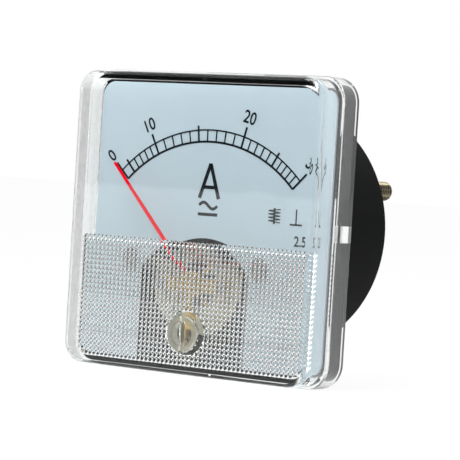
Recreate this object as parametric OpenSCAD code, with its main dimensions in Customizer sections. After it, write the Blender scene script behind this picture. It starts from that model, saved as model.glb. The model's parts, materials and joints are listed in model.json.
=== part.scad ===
/* [Cover] */
// Width and height of the square front
front_w = 60; // [58:0.5:66]
// Depth of the cover in front of the panel
cover_d = 12; // [11.6:0.2:15]
// Depth of the rear rim of the cover
rim_d = 5; // [4.8:0.1:6]
// Step from the rim in to the front box, on each side
rim_step = 0.6; // [0.3:0.1:1]
// Radius of the upright corners of the rim
corner_r = 5; // [4:0.25:7]
// Rounding of the front edges
edge_r = 0.8; // [0.4:0.1:1.4]
// Rounding inside the front edges
inner_edge_r = 0.7; // [0.3:0.1:1]
// Thickness of the clear front wall
front_wall = 2.5; // [1.8:0.1:2.8]
// Thickness of the clear side walls
side_wall = 1.5; // [1.2:0.1:1.8]
// Thickness of the rim wall around the case flange
rim_wall = 1; // [0.8:0.1:1.2]

/* [Prism field] */
// Spacing of the prisms moulded into the lower front
prism_pitch = 1; // [0.8:0.05:2]
// Height of each prism
prism_h = 0.4; // [0.2:0.05:0.5]
// Top of the prism field, below the middle of the front
field_top = 3.5; // [2:0.5:6]
// Plain strip left below the prism field
field_margin = 0.3; // [0.2:0.1:3]

/* [Rear case] */
// Diameter of the round barrel behind the panel
barrel_dia = 50; // [49:0.5:56]
// Depth of the barrel behind the panel
barrel_d = 21; // [20.5:0.5:26]
// Thickness of the barrel wall
barrel_wall = 2; // [1.6:0.2:2.4]
// Thickness of the closed end of the barrel
end_wall = 2; // [1.6:0.2:2.4]
// Thickness of the square flange plate
flange_t = 3; // [2.4:0.2:3.6]
// Height of the frame that carries the dial, from the panel
frame_h = 4.5; // [4.2:0.1:5]
// Width of that frame
frame_w = 2.2; // [1.8:0.2:3]

/* [Dial] */
// Thickness of the dial plate
dial_t = 0.5; // [0.4:0.1:0.8]
// Radius of the corners of the dial plate
dial_corner_r = 3; // [2:0.5:4]
// Half width of the opening over the movement
opening_half = 13; // [12.5:0.25:14]
// Radius of the arched top of that opening
arch_r = 16; // [15:0.5:20]
// Top of the arch, below the middle of the front
arch_top = 2.7; // [2:0.1:3]
// Thickness of the printed layer
print_t = 0.05; // [0.03:0.01:0.1]

/* [Scale] */
// Angle swept by the pointer from zero to full scale
sweep = 90; // [80:1:94]
// Angle of the resting pointer above the zero mark
rest_rise = 2.2; // [0:0.1:3]
// Radius of the outer scale line
scale_out_r = 30.5; // [29.5:0.1:31]
// Distance between the two scale lines
scale_band = 2.3; // [1.5:0.1:3]
// Length of a numbered mark beyond the outer line
long_mark = 2; // [1.2:0.1:2.4]
// Length of a half-way mark beyond the outer line
middle_mark = 0.9; // [0.5:0.1:1.1]
// Width of a fine mark
mark_w = 0.3; // [0.2:0.01:0.36]

/* [Movement] */
// Height of the pointer axis, below the middle of the front
pivot_drop = 11.9; // [11.5:0.1:12.2]
// Depth of the winding below the rim of the bobbin cheeks
coil_lip = 1.1; // [0.8:0.1:2]
// Length of the winding
coil_len = 12; // [10:0.5:12.5]
// Number of wire turns side by side
coil_turns = 6; // [4:1:10]
// Outer radius of the bobbin tube
bobbin_tube_r = 5.4; // [5.2:0.1:6]
// Bore radius of the bobbin
bobbin_bore_r = 4.6; // [4.4:0.1:4.8]
// Diameter of the spindle
spindle_dia = 1; // [0.8:0.1:1.2]
// Distance from the dial front to the pointer
pointer_lift = 3; // [2.8:0.1:3.2]
// Reach of the pointer tip beyond the outer scale line
pointer_over = 0.8; // [0:0.1:1.5]
// Width of the pointer where it leaves the crank
pointer_w = 0.6; // [0.4:0.05:0.8]
// Thickness of the brass bridge
bridge_t = 0.8; // [0.6:0.1:0.9]
// Distance of the bridge pillars from the rim of the bobbin cheeks
bridge_inset = 3.2; // [2.4:0.1:3.4]
// Turns of the hairspring
spring_turns = 4; // [2:1:5]

/* [Damping] */
// Outer radius of the damping chamber
chamber_out_r = 17.6; // [16:0.2:18]
// Inner radius of the damping chamber
chamber_in_r = 8.2; // [8:0.1:9]
// Depth of the damping chamber
chamber_d = 3.3; // [3:0.1:3.4]
// Thickness of the chamber sheet
chamber_t = 0.5; // [0.4:0.1:0.6]

/* [Zero adjuster] */
// Height of the adjuster, below the middle of the front
adjuster_drop = 21.4; // [21.2:0.1:21.8]
// Diameter of the slotted head
adjuster_head_dia = 7.3; // [6.6:0.1:7.6]
// Diameter of the shank in the cover
adjuster_shank_dia = 5; // [4.6:0.1:5.2]
// Offset of the eccentric pin from the adjuster axis
pin_offset = 1.3; // [1:0.1:1.5]
// Diameter of the eccentric pin
pin_dia = 1.2; // [1:0.1:1.3]

/* [Terminals] */
// Distance of the stud axes from the outside of the barrel
stud_inset = 8.2; // [7.5:0.1:9]
// Height of the studs above the middle
stud_rise = 8.5; // [8:0.25:9.5]
// Diameter of the stud thread
stud_dia = 4; // [3.5:0.5:4]
// Length of the stud behind the barrel
stud_len = 15.5; // [12:0.5:20]
// Width of the hexagon nuts across flats
nut_af = 7; // [6.5:0.5:8]

/* [Fits] */
// Gap around the case flange inside the rim
case_gap = 0.3; // [0.2:0.05:0.4]
// Gap around the edge of the dial plate
dial_gap = 0.4; // [0.2:0.05:0.6]
// Radial gap around screws and studs
thread_gap = 0.05; // [0.03:0.01:0.08]
// Radial gap of turning parts
turn_gap = 0.08; // [0.05:0.01:0.1]
// Gap at each end of the spindle
pivot_gap = 0.1; // [0.05:0.01:0.15]
// Gap on each side of the pin in its fork
fork_gap = 0.1; // [0.08:0.01:0.15]

/* [Hidden] */
$fn = 64;
// Overlap of joined solids, and how far a cut runs past a face
eps = 0.01;
cut = 1;

// Outlines, as half widths
half = front_w / 2;
box_half = half - rim_step;
box_r = corner_r - rim_step;
bay_half = box_half - side_wall;
bay_r = box_r - side_wall;
rim_in_half = half - rim_wall;
rim_in_r = corner_r - rim_wall;
case_half = rim_in_half - case_gap;
case_r = rim_in_r - case_gap;
dial_half = bay_half - dial_gap;
frame_in_r = case_r - frame_w / 2;

// Planes across the meter: the panel is at 0, the front is negative
y_front = -cover_d;
y_bay = y_front + front_wall;
y_step = -rim_d;
y_frame = -frame_h;
y_flange = -flange_t;
y_dial = y_frame - dial_t;
y_end = barrel_d;
y_floor = barrel_d - end_wall;

// Barrel
barrel_r = barrel_dia / 2;
barrel_in_r = barrel_r - barrel_wall;
barrel_chamfer = 0.6;

// Latches of the cover
latch_h = 3.3;
latch_d = 3;
latch_proud = 0.2;
latch_hook = 0.5;
latch_from_panel = 0.2;
pocket_w = 2;

// Movement planes
pivot_z = -pivot_drop;
y_coil = 0.5;
cheek_t = 1;
y_cheek_front = y_coil - cheek_t;
y_coil_end = y_coil + coil_len;
y_cheek_back = y_coil_end + cheek_t;
plate_t = 1;
y_plate_back = y_cheek_back + plate_t;
cheek_gap = 0.6;
cheek_r = barrel_in_r - pivot_drop - cheek_gap;
coil_r = cheek_r - coil_lip;
bridge_half = cheek_r - bridge_inset;
bridge_pillar_r = 1.1;
y_pointer = y_dial - pointer_lift;
pointer_t = 0.3;
bridge_lift = 1.8;
y_bridge_back = y_dial - bridge_lift;
y_bridge = y_bridge_back - bridge_t;
lever_t = 0.4;
lever_gap = 0.1;
y_lever_back = y_bridge - lever_gap;
y_lever = y_lever_back - lever_t;

// Jewel screws
jewel_screw_r = 1.25;
jewel_cup_r = 0.7;
jewel_cup_d = 0.8;
front_cup_inset = 0.3;
rear_cup_inset = 0.4;
y_front_cup = y_bridge_back + front_cup_inset;
y_rear_cup = y_cheek_back - rear_cup_inset;
jewel_head_over = 0.1;
front_nut_t = 0.5;
front_nut_r = 2;
rear_jewel_len = 3.2;

// Spindle and what it carries
spindle_r = spindle_dia / 2;
y_spindle_front = y_front_cup - jewel_cup_d + pivot_gap;
y_spindle_back = y_rear_cup + jewel_cup_d - pivot_gap;
tip_len = 0.9;
collet_r = 1.1;
collet_t = 0.7;
collet_gap = 0.5;
y_collet = y_bridge_back + collet_gap;
hub_r = 1.8;
hub_t = 0.8;
hub_gap = 0.3;
y_hub = y_collet + collet_t + hub_gap;
pointer_r = scale_out_r + pointer_over;
crank_t = 0.5;
crank_gap = 0.3;
crank_r = bridge_half - bridge_pillar_r - crank_gap - crank_t;
crank_sink = 0.1;
notch_sink = 0.15;
pointer_tip_w = 0.3;
tail_over = 0.2;
tail_len = crank_r + tail_over;
arm_w = 0.5;
weight_r = 0.7;
weight_len = 1.4;
weight_from_end = 0.3;
zero_angle = sweep / 2;
rest_angle = zero_angle - rest_rise;

// Hairspring
lever_pin_r = 4.1;
lever_pin_dia = 0.6;
spring_strip = 0.12;
spring_gap = 0.05;
spring_in_r = collet_r + spring_gap;
spring_out_r = lever_pin_r - lever_pin_dia / 2 - spring_strip - spring_gap;
spring_h = 0.35;
spring_steps = 24;
y_spring = y_collet + (collet_t - spring_h) / 2;

// Damping
y_chamber_back = y_cheek_front;
y_chamber = y_chamber_back - chamber_d;
chamber_half_angle = 58;
vane_t = 0.3;
vane_gap = 0.6;
vane_side_gap = 0.4;
vane_arm_inset = 0.7;
y_vane_arm = y_chamber + vane_arm_inset;
vane_arm_t = 0.4;
sill_h = 1.2;

// Zero lever and adjuster
adjuster_z = -adjuster_drop;
lever_ring_r = 2.5;
lever_w = 2.4;
fork_reach = 1.3;
fork_depth = 3.4;
pin_r = pin_dia / 2;
adjuster_drop_from_pivot = adjuster_drop - pivot_drop;
fork_pin_r = adjuster_drop_from_pivot + pin_offset;
head_r = adjuster_head_dia / 2;
head_t = 1.3;
shank_r = adjuster_shank_dia / 2;
boss_rim = 1.7;
boss_r = shank_r + boss_rim;
boss_h = 0.6;
y_boss = y_bay + boss_h;
lip_t = 0.4;
lip_w = 0.3;
head_proud = 0.1;
head_chamfer = 0.3;
pin_through = 0.4;
slot_w = 1;
slot_d = 0.7;

// Dial fixing
pillar_x = 15.6;
pillar_z = -7.5;
pillar_r = 2.1;
pillar_tail_r = 1.2;
dial_screw_r = 1;
dial_screw_head_r = 1.9;
dial_screw_head_t = 1;
dial_screw_len = 3.5;
boss_wall = 1.6;
boss_floor = 0.5;
tail_short = 1;
tap_spare = 0.5;
screw_slot_w = 0.5;

// Movement plate and its screws
plate_lobe_r = 3.2;
plate_gap = 1.8;
plate_screw_x = barrel_in_r - plate_lobe_r - plate_gap;
plate_screw_z = -1;
plate_screw_r = 1.1;
plate_screw_head_r = 2;
plate_screw_head_t = 1.2;

// Irons inside the coil
fixed_iron_t = 0.35;
fixed_iron_sweep = 110;
fixed_iron_inset = 1;
fixed_iron_taper = 24;
moving_iron_t = 0.3;
moving_iron_gap = 1.6;
moving_iron_inset = 1.5;
moving_iron_half_angle = 28;
spoke_w = 1;
spoke_t = 0.4;

// Bridge
bridge_h = 3;
bridge_waist = 2.6;
bridge_ring_extra = 0.3;
bridge_ring_r = lever_ring_r + bridge_ring_extra;
bridge_screw_r = 0.6;
bridge_screw_head_r = 1.3;
bridge_screw_head_t = 0.6;
bridge_screw_len = 2.6;

// Printed lines
inner_line_w = 0.42;
heavy_mark_w = 0.43;
scale_in_r = scale_out_r - scale_band;
long_mark_r = scale_out_r + long_mark;
middle_mark_r = scale_out_r + middle_mark;

// Terminals. Inside the case and the nuts the thread is drawn at its pitch radius
stud_circle_r = barrel_r - stud_inset;
stud_x = sqrt(stud_circle_r * stud_circle_r - stud_rise * stud_rise);
stud_r = stud_dia / 2;
thread_pitch = 0.7;
pitch_line_share = 0.325;
stud_pitch_r = stud_r - pitch_line_share * thread_pitch;
stud_head_t = 2.4;
stud_head_r = 3.8;
lead_t = 0.8;
lead_w = 4;
lead_shelf_z = 3.2;
lead_in_x = 5.4;
lead_from_cheek = 1.6;
y_lead = y_floor - lead_t;
pad_t = 0.6;
pad_r = 5;
stud_nut_t = 2;
washer_gap = 0.15;
washer_split = 0.5;
washer_t = 0.5;
washer_r = 4;
spring_washer_t = 0.8;
spring_washer_r = 3.5;
terminal_nut_t = 2.4;
y_pad = y_end + pad_t;
y_washer = y_pad + stud_nut_t;
y_spring_washer = y_washer + washer_t;
y_terminal_nut = y_spring_washer + spring_washer_t;
y_free_thread = y_terminal_nut + terminal_nut_t;
stud_end = barrel_d + stud_len;
stud_chamfer = 0.5;

// Deflection of the numbered and half-way marks, as shares of the full sweep;
// the fine marks divide the space between them evenly
mark_step = 5;
mark_shares = [0, 0.0455, 0.204, 0.434, 0.667, 0.85, 1];
full_scale = mark_step * (len(mark_shares) - 1);

// Angle of a scale value, from the upright, clockwise
function scale_angle(value) =
    sweep * lookup(value, [for (i = [0:len(mark_shares) - 1]) [i * mark_step, mark_shares[i]]])
    - zero_angle;

// Solid of a flat outline in x and z, between two planes across y
module slab(y0, y1) {
    translate([0, y1, 0]) rotate([90, 0, 0]) linear_extrude(y1 - y0) children();
}

// Round bar along y
module rod(r, y0, y1, x = 0, z = 0) {
    translate([x, y1, z]) rotate([90, 0, 0]) cylinder(h = y1 - y0, r = r);
}

// Hexagon bar along y
module hex_rod(af, y0, y1, x = 0, z = 0) {
    translate([x, y1, z]) rotate([90, 0, 0])
        cylinder(h = y1 - y0, r = af / sqrt(3), $fn = 6);
}

// Solid of revolution about an axis along y; the outline is given as radius and y
module turned(x = 0, z = 0) {
    translate([x, 0, z]) rotate([-90, 0, 0]) rotate_extrude() children();
}

// Things placed on the pointer axis and turned about it, clockwise from the upright
module on_pivot(angle = 0) {
    translate([0, 0, pivot_z]) rotate([0, angle, 0]) children();
}

// Square outline with round corners
module tile(h, r) {
    square([2 * h, 2 * (h - r)], center = true);
    square([2 * (h - r), 2 * h], center = true);
    for (sx = [-1, 1], sz = [-1, 1])
        translate([sx * (h - r), sz * (h - r)]) circle(r);
}

// Section of a block whose front edge is rounded, from the middle out
module soft_section(reach, y0, y1, e) {
    translate([0, y0 + e]) square([reach, y1 - y0 - e]);
    translate([0, y0]) square([reach - e, 2 * e]);
    translate([reach - e, y0 + e]) circle(e);
}

// Square block with round upright corners and a rounded front edge
module soft_block(h, r, y0, y1, e) {
    for (sx = [-1, 1], sz = [-1, 1])
        turned(sx * (h - r), sz * (h - r)) soft_section(r, y0, y1, e);
    for (turn = [0, 90])
        rotate([0, turn, 0]) translate([0, 0, r - h]) linear_extrude(2 * (h - r)) {
            soft_section(h, y0, y1, e);
            mirror([1, 0]) soft_section(h, y0, y1, e);
        }
}

// Row of prisms along x, upright, standing on the inside of the front wall
module prism_field() {
    count = floor(2 * bay_half / prism_pitch);
    start = -count * prism_pitch / 2;
    bottom = -bay_half + field_margin;
    teeth = [for (i = [0:count - 1]) each
        [[start + i * prism_pitch, y_bay], [start + (i + 0.5) * prism_pitch, y_bay + prism_h]]];
    translate([0, 0, bottom]) linear_extrude(-field_top - bottom)
        polygon(concat([[start, y_bay - prism_h]], teeth,
            [[-start, y_bay], [-start, y_bay - prism_h]]));
}

module front_cover() {
    color([0.86, 0.91, 0.93, 0.35]) {
        difference() {
            union() {
                soft_block(box_half, box_r, y_front, y_step + eps, edge_r);
                soft_block(half, corner_r, y_step, 0, edge_r / 2);
            }
            soft_block(bay_half, bay_r, y_bay, cut, inner_edge_r);
            slab(y_frame, cut) tile(rim_in_half, rim_in_r);
            rod(head_r + turn_gap, y_front - cut, y_front + head_t, 0, adjuster_z);
            rod(shank_r + turn_gap, y_front, y_bay + cut, 0, adjuster_z);
        }
        difference() {
            union() {
                prism_field();
                rod(boss_r, y_bay - eps, y_boss, 0, adjuster_z);
            }
            rod(shank_r + turn_gap, y_front, y_boss + cut, 0, adjuster_z);
        }
        for (side = [-1, 1]) cover_latch(side);
    }
}

// Latch tongue in the rim, with its hook inside
module cover_latch(side) {
    y0 = -latch_from_panel - latch_d;
    x_in = case_half - latch_hook + case_gap;
    x_out = half + latch_proud;
    translate([side > 0 ? x_in : -x_out, y0, -latch_h / 2]) cube([x_out - x_in, latch_d, latch_h]);
}

module rear_case() {
    color([0.11, 0.11, 0.12]) difference() {
        union() {
            difference() {
                union() {
                    slab(y_frame, 0) tile(case_half, case_r);
                    turned() barrel_section();
                }
                slab(y_frame - cut, y_flange) tile(case_half - frame_w, frame_in_r);
                rod(barrel_in_r, y_frame - cut, y_floor);
            }
            for (side = [-1, 1]) {
                rod(pillar_tail_r + boss_wall, y_plate_back, y_floor + eps, side * pillar_x, pillar_z);
                rod(plate_screw_r + boss_wall, y_plate_back, y_floor + eps,
                    side * plate_screw_x, plate_screw_z);
                rod(pad_r, y_end - eps, y_pad, side * stud_x, stud_rise);
            }
        }
        for (side = [-1, 1]) {
            rod(pillar_tail_r + thread_gap, y_plate_back - cut, y_floor - boss_floor,
                side * pillar_x, pillar_z);
            rod(plate_screw_r + thread_gap, y_plate_back - cut, y_floor - boss_floor,
                side * plate_screw_x, plate_screw_z);
            rod(stud_pitch_r + thread_gap, y_floor - cut, y_pad + cut, side * stud_x, stud_rise);
            latch_pocket(side);
        }
    }
}

module barrel_section() {
    polygon([[0, y_flange], [barrel_r, y_flange], [barrel_r, y_end - barrel_chamfer],
        [barrel_r - barrel_chamfer, y_end], [0, y_end]]);
}

// Pocket in the flange edge for the hook of a latch
module latch_pocket(side) {
    y0 = -latch_from_panel - latch_d - case_gap;
    z0 = -latch_h / 2 - case_gap;
    x_in = case_half - latch_hook;
    translate([side > 0 ? x_in : -x_in - pocket_w, y0, z0])
        cube([pocket_w, latch_d + latch_from_panel + case_gap + cut, latch_h + 2 * case_gap]);
}

module zero_adjuster() {
    color([0.88, 0.87, 0.80, 0.6]) {
        difference() {
            turned(0, adjuster_z) adjuster_section();
            translate([-slot_w / 2, y_front - head_proud - cut, adjuster_z - head_r - cut])
                cube([slot_w, slot_d + cut, 2 * (head_r + cut)]);
        }
        rod(pin_r, y_boss + lip_t, y_lever_back + pin_through, 0, adjuster_z - pin_offset);
    }
}

// Half section of the adjuster: head, shank and snap lip
module adjuster_section() {
    y_head = y_front - head_proud;
    y_shoulder = y_front + head_t - turn_gap;
    polygon([[0, y_head], [head_r - head_chamfer, y_head], [head_r, y_head + head_chamfer],
        [head_r, y_shoulder], [shank_r, y_shoulder], [shank_r, y_boss + turn_gap],
        [shank_r + lip_w, y_boss + turn_gap], [shank_r, y_boss + turn_gap + lip_t],
        [0, y_boss + turn_gap + lip_t]]);
}

module dial_outline() {
    difference() {
        tile(dial_half, dial_corner_r);
        intersection() {
            translate([0, -arch_top - arch_r]) circle(arch_r);
            translate([-opening_half, -half]) square([2 * opening_half, half]);
        }
        translate([-opening_half, -half]) square([2 * opening_half, half - arch_top - arch_r]);
        for (side = [-1, 1]) translate([side * pillar_x, pillar_z]) circle(dial_screw_r + thread_gap);
    }
}

module dial_plate() {
    color([0.76, 0.82, 0.86]) slab(y_dial, y_frame) dial_outline();
}

// Printed line along an arc of the scale
module scale_line(r, w) {
    intersection() {
        difference() {
            circle(r + w / 2, $fn = 180);
            circle(r - w / 2, $fn = 180);
        }
        polygon([[0, 0], for (s = [-1, 0, 1]) 2 * half * [sin(s * zero_angle), cos(s * zero_angle)]]);
    }
}

module scale_print() {
    color([0.05, 0.05, 0.06]) translate([0, 0, pivot_z]) slab(y_dial - print_t, y_dial) {
        scale_line(scale_in_r, inner_line_w);
        scale_line(scale_out_r, mark_w);
        for (v = [0, each [mark_step:1:full_scale]]) {
            numbered = v % (2 * mark_step) == 0;
            middle = v % mark_step == 0;
            w = middle ? heavy_mark_w : mark_w;
            reach = numbered ? long_mark_r : middle ? middle_mark_r : scale_out_r;
            rotate(-scale_angle(v)) translate([-w / 2, scale_in_r]) square([w, reach - scale_in_r]);
        }
    }
}

module dial_screws() {
    color([0.35, 0.35, 0.36]) for (side = [-1, 1]) difference() {
        union() {
            rod(dial_screw_head_r, y_dial - dial_screw_head_t, y_dial, side * pillar_x, pillar_z);
            rod(dial_screw_r, y_dial - eps, y_dial + dial_screw_len, side * pillar_x, pillar_z);
        }
        translate([side * pillar_x, y_dial - dial_screw_head_t, pillar_z])
            cube([2 * dial_screw_head_r + cut, dial_screw_head_t, screw_slot_w], center = true);
    }
}

module dial_pillars() {
    color([0.80, 0.68, 0.36]) for (side = [-1, 1]) difference() {
        union() {
            hex_rod(sqrt(3) * pillar_r, y_frame, y_cheek_back, side * pillar_x, pillar_z);
            rod(pillar_tail_r, y_cheek_back - eps, y_floor - tail_short, side * pillar_x, pillar_z);
        }
        rod(dial_screw_r + thread_gap, y_frame - cut, y_dial + dial_screw_len + tap_spare,
            side * pillar_x, pillar_z);
    }
}

module movement_plate() {
    color([0.66, 0.67, 0.68]) slab(y_cheek_back, y_plate_back) difference() {
        union() {
            translate([0, pivot_z]) circle(cheek_r);
            translate([-pillar_x, pillar_z - plate_lobe_r]) square([2 * pillar_x, 2 * plate_lobe_r]);
            for (side = [-1, 1]) {
                translate([side * pillar_x, pillar_z]) circle(plate_lobe_r);
                translate([side * plate_screw_x, plate_screw_z]) circle(plate_lobe_r);
                plate_arm(side);
            }
        }
        translate([0, pivot_z]) circle(jewel_screw_r + thread_gap);
        for (side = [-1, 1]) {
            translate([side * pillar_x, pillar_z]) circle(pillar_tail_r + thread_gap);
            translate([side * plate_screw_x, plate_screw_z]) circle(plate_screw_r + thread_gap);
        }
    }
}

// Arm of the movement plate between a pillar lobe and a screw lobe
module plate_arm(side) {
    run = [plate_screw_x - pillar_x, plate_screw_z - pillar_z];
    translate([side * pillar_x, pillar_z]) rotate(-side * atan2(run[0], run[1]))
        translate([-plate_lobe_r, 0]) square([2 * plate_lobe_r, norm(run)]);
}

module plate_screws() {
    color([0.62, 0.62, 0.60]) for (side = [-1, 1]) difference() {
        union() {
            rod(plate_screw_head_r, y_cheek_back - plate_screw_head_t, y_cheek_back,
                side * plate_screw_x, plate_screw_z);
            rod(plate_screw_r, y_cheek_back - eps, y_floor - tail_short,
                side * plate_screw_x, plate_screw_z);
        }
        translate([side * plate_screw_x, y_cheek_back - plate_screw_head_t, plate_screw_z])
            cube([2 * plate_screw_head_r + cut, plate_screw_head_t, screw_slot_w], center = true);
    }
}

module coil_bobbin() {
    color([0.90, 0.88, 0.80]) difference() {
        turned(0, pivot_z) polygon([
            [bobbin_bore_r, y_cheek_front], [cheek_r, y_cheek_front], [cheek_r, y_coil],
            [bobbin_tube_r, y_coil], [bobbin_tube_r, y_coil_end], [cheek_r, y_coil_end],
            [cheek_r, y_cheek_back], [bobbin_bore_r, y_cheek_back]]);
        for (side = [-1, 1])
            rod(bridge_screw_r + thread_gap, y_cheek_front - cut, y_coil + cut, side * bridge_half, pivot_z);
    }
}

module coil_winding() {
    wire_r = coil_len / coil_turns / 2;
    color([0.72, 0.38, 0.20]) turned(0, pivot_z) {
        translate([bobbin_tube_r, y_coil]) square([coil_r - wire_r - bobbin_tube_r, coil_len]);
        for (i = [0:coil_turns - 1])
            translate([coil_r - wire_r, y_coil + (2 * i + 1) * wire_r]) circle(wire_r);
    }
}

// Copper strip from the winding to a stud head: down from the stud, forward, and onto the coil
module coil_lead(side, y_on_coil) {
    shelf_back_z = lead_shelf_z + lead_t;
    color([0.78, 0.45, 0.25]) mirror([side < 0 ? 1 : 0, 0, 0]) difference() {
        union() {
            slab(y_lead, y_floor) {
                translate([stud_x, stud_rise]) circle(stud_head_r);
                polygon([[stud_x - stud_head_r, stud_rise], [lead_in_x, shelf_back_z],
                    [lead_in_x, lead_shelf_z], [lead_in_x + lead_w, lead_shelf_z],
                    [stud_x, stud_rise - stud_head_r]]);
            }
            translate([lead_in_x, y_on_coil, lead_shelf_z]) cube([lead_w, y_floor - y_on_coil, lead_t]);
            translate([lead_in_x, y_on_coil, pivot_z]) cube([lead_w, lead_t, shelf_back_z - pivot_z]);
        }
        rod(coil_r + thread_gap, 0, y_floor + cut, 0, pivot_z);
        rod(stud_pitch_r + thread_gap, 0, y_floor + cut, stud_x, stud_rise);
    }
}

module coil_lead_left() {
    coil_lead(-1, y_coil + lead_from_cheek);
}

module coil_lead_right() {
    coil_lead(1, y_coil_end - lead_from_cheek - lead_t);
}

// Curved iron fixed in the bobbin bore, cut to a taper at one end
module fixed_iron() {
    r = bobbin_bore_r - thread_gap - fixed_iron_t;
    block = 2 * (bobbin_bore_r + coil_len);
    color([0.50, 0.52, 0.55]) on_pivot() difference() {
        rotate([-90, 0, 0]) rotate([0, 0, 180]) rotate_extrude(angle = fixed_iron_sweep)
            translate([r, y_coil + fixed_iron_inset])
                square([fixed_iron_t, coil_len - 2 * fixed_iron_inset]);
        rotate([0, 0, fixed_iron_taper]) translate([-block, coil_len - 2 * fixed_iron_inset, -block / 2])
            cube(block);
    }
}

module front_bridge() {
    color([0.83, 0.68, 0.33]) slab(y_bridge, y_bridge_back) translate([0, pivot_z]) difference() {
        union() {
            square([2 * bridge_half, bridge_waist], center = true);
            circle(bridge_ring_r);
            for (side = [-1, 1]) translate([side * bridge_half, 0]) circle(bridge_h / 2);
        }
        circle(jewel_screw_r + thread_gap);
        for (side = [-1, 1]) translate([side * bridge_half, 0]) circle(bridge_screw_r + thread_gap);
    }
}

module bridge_pillars() {
    color([0.80, 0.68, 0.36]) for (side = [-1, 1]) difference() {
        rod(bridge_pillar_r, y_bridge_back, y_cheek_front, side * bridge_half, pivot_z);
        rod(bridge_screw_r + thread_gap, y_bridge_back - cut, y_bridge + bridge_screw_len + tap_spare,
            side * bridge_half, pivot_z);
    }
}

module bridge_screws() {
    color([0.62, 0.62, 0.60]) for (side = [-1, 1]) {
        rod(bridge_screw_head_r, y_bridge - bridge_screw_head_t, y_bridge, side * bridge_half, pivot_z);
        rod(bridge_screw_r, y_bridge - eps, y_bridge + bridge_screw_len, side * bridge_half, pivot_z);
    }
}

module front_jewel_screw() {
    y_head = y_lever - front_nut_t - jewel_head_over;
    color([0.80, 0.70, 0.42]) turned(0, pivot_z) polygon([
        [0, y_head], [jewel_screw_r, y_head], [jewel_screw_r, y_front_cup],
        [jewel_cup_r, y_front_cup], [0, y_front_cup - jewel_cup_d]]);
}

module front_jewel_nut() {
    color([0.78, 0.66, 0.36]) difference() {
        hex_rod(sqrt(3) * front_nut_r, y_lever - front_nut_t, y_lever, 0, pivot_z);
        rod(jewel_screw_r + thread_gap, y_lever - cut, y_lever + cut, 0, pivot_z);
    }
}

module rear_jewel_screw() {
    color([0.80, 0.70, 0.42]) turned(0, pivot_z) polygon([
        [0, y_rear_cup + jewel_cup_d], [jewel_cup_r, y_rear_cup], [jewel_screw_r, y_rear_cup],
        [jewel_screw_r, y_rear_cup + rear_jewel_len], [0, y_rear_cup + rear_jewel_len]]);
}

// Sector about the pointer axis, in the upper half, from a half section of radius and y
module sector(half_angle) {
    rotate([-90, 0, 0]) rotate([0, 0, -90 - half_angle]) rotate_extrude(angle = 2 * half_angle)
        children();
}

module damping_chamber() {
    wall_angle = asin(chamber_t / chamber_in_r);
    color([0.72, 0.73, 0.74]) on_pivot() difference() {
        sector(chamber_half_angle) translate([chamber_in_r, y_chamber])
            square([chamber_out_r - chamber_in_r, chamber_d]);
        sector(chamber_half_angle - wall_angle) translate([chamber_in_r + chamber_t, y_chamber - cut])
            square([chamber_out_r - chamber_in_r - 2 * chamber_t, chamber_d + cut - chamber_t]);
        sector(chamber_half_angle - wall_angle) translate([chamber_in_r - cut, y_chamber - cut])
            square([2 * cut, chamber_d + cut - sill_h]);
    }
}

module damping_lid() {
    color([0.76, 0.77, 0.78]) on_pivot() sector(chamber_half_angle)
        translate([chamber_in_r, y_chamber - chamber_t]) square([chamber_out_r - chamber_in_r, chamber_t]);
}

module damping_vane() {
    r_in = chamber_in_r + chamber_t + vane_gap;
    r_out = chamber_out_r - chamber_t - vane_gap;
    y0 = y_chamber + vane_side_gap;
    y1 = y_chamber_back - chamber_t - vane_side_gap;
    color([0.80, 0.81, 0.82]) on_pivot(-rest_angle) difference() {
        union() {
            rod(hub_r, y_vane_arm, y_vane_arm + vane_arm_t);
            translate([-arm_w / 2, y_vane_arm, 0]) cube([arm_w, vane_arm_t, r_out]);
            translate([-vane_t / 2, y0, r_in]) cube([vane_t, y1 - y0, r_out - r_in]);
        }
        rod(spindle_r + thread_gap, y_chamber, y_chamber_back);
    }
}

module spindle() {
    color([0.70, 0.71, 0.73]) turned(0, pivot_z) polygon([
        [0, y_spindle_front], [spindle_r, y_spindle_front + tip_len],
        [spindle_r, y_spindle_back - tip_len], [0, y_spindle_back]]);
}

module moving_iron() {
    r = bobbin_bore_r - moving_iron_gap;
    y0 = y_coil + moving_iron_inset;
    y1 = y_coil_end - moving_iron_inset;
    color([0.55, 0.56, 0.60]) on_pivot(-rest_angle) difference() {
        union() {
            sector(moving_iron_half_angle) translate([r, y0]) square([moving_iron_t, y1 - y0]);
            for (y = [y0, y1 - spoke_t]) {
                rod(collet_r, y, y + spoke_t);
                translate([-spoke_w / 2, y, 0]) cube([spoke_w, spoke_t, r + moving_iron_t / 2]);
            }
        }
        rod(spindle_r + thread_gap, 0, y_coil_end);
    }
}

// Blade with a crank at its root, down to a foot in the hub
module pointer() {
    y_foot = y_hub + (hub_t - crank_t) / 2;
    y_blade = y_pointer - pointer_t / 2;
    color([0.88, 0.07, 0.10]) on_pivot(-rest_angle) {
        translate([-pointer_w / 2, y_blade, crank_r]) cube([pointer_w, y_foot + crank_t - y_blade, crank_t]);
        translate([-pointer_w / 2, y_foot, hub_r - crank_sink])
            cube([pointer_w, crank_t, crank_r + crank_t - hub_r + crank_sink]);
        slab(y_blade, y_blade + pointer_t)
            polygon([[-pointer_w / 2, crank_r], [-pointer_tip_w / 2, pointer_r],
                [pointer_tip_w / 2, pointer_r], [pointer_w / 2, crank_r]]);
    }
}

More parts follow.
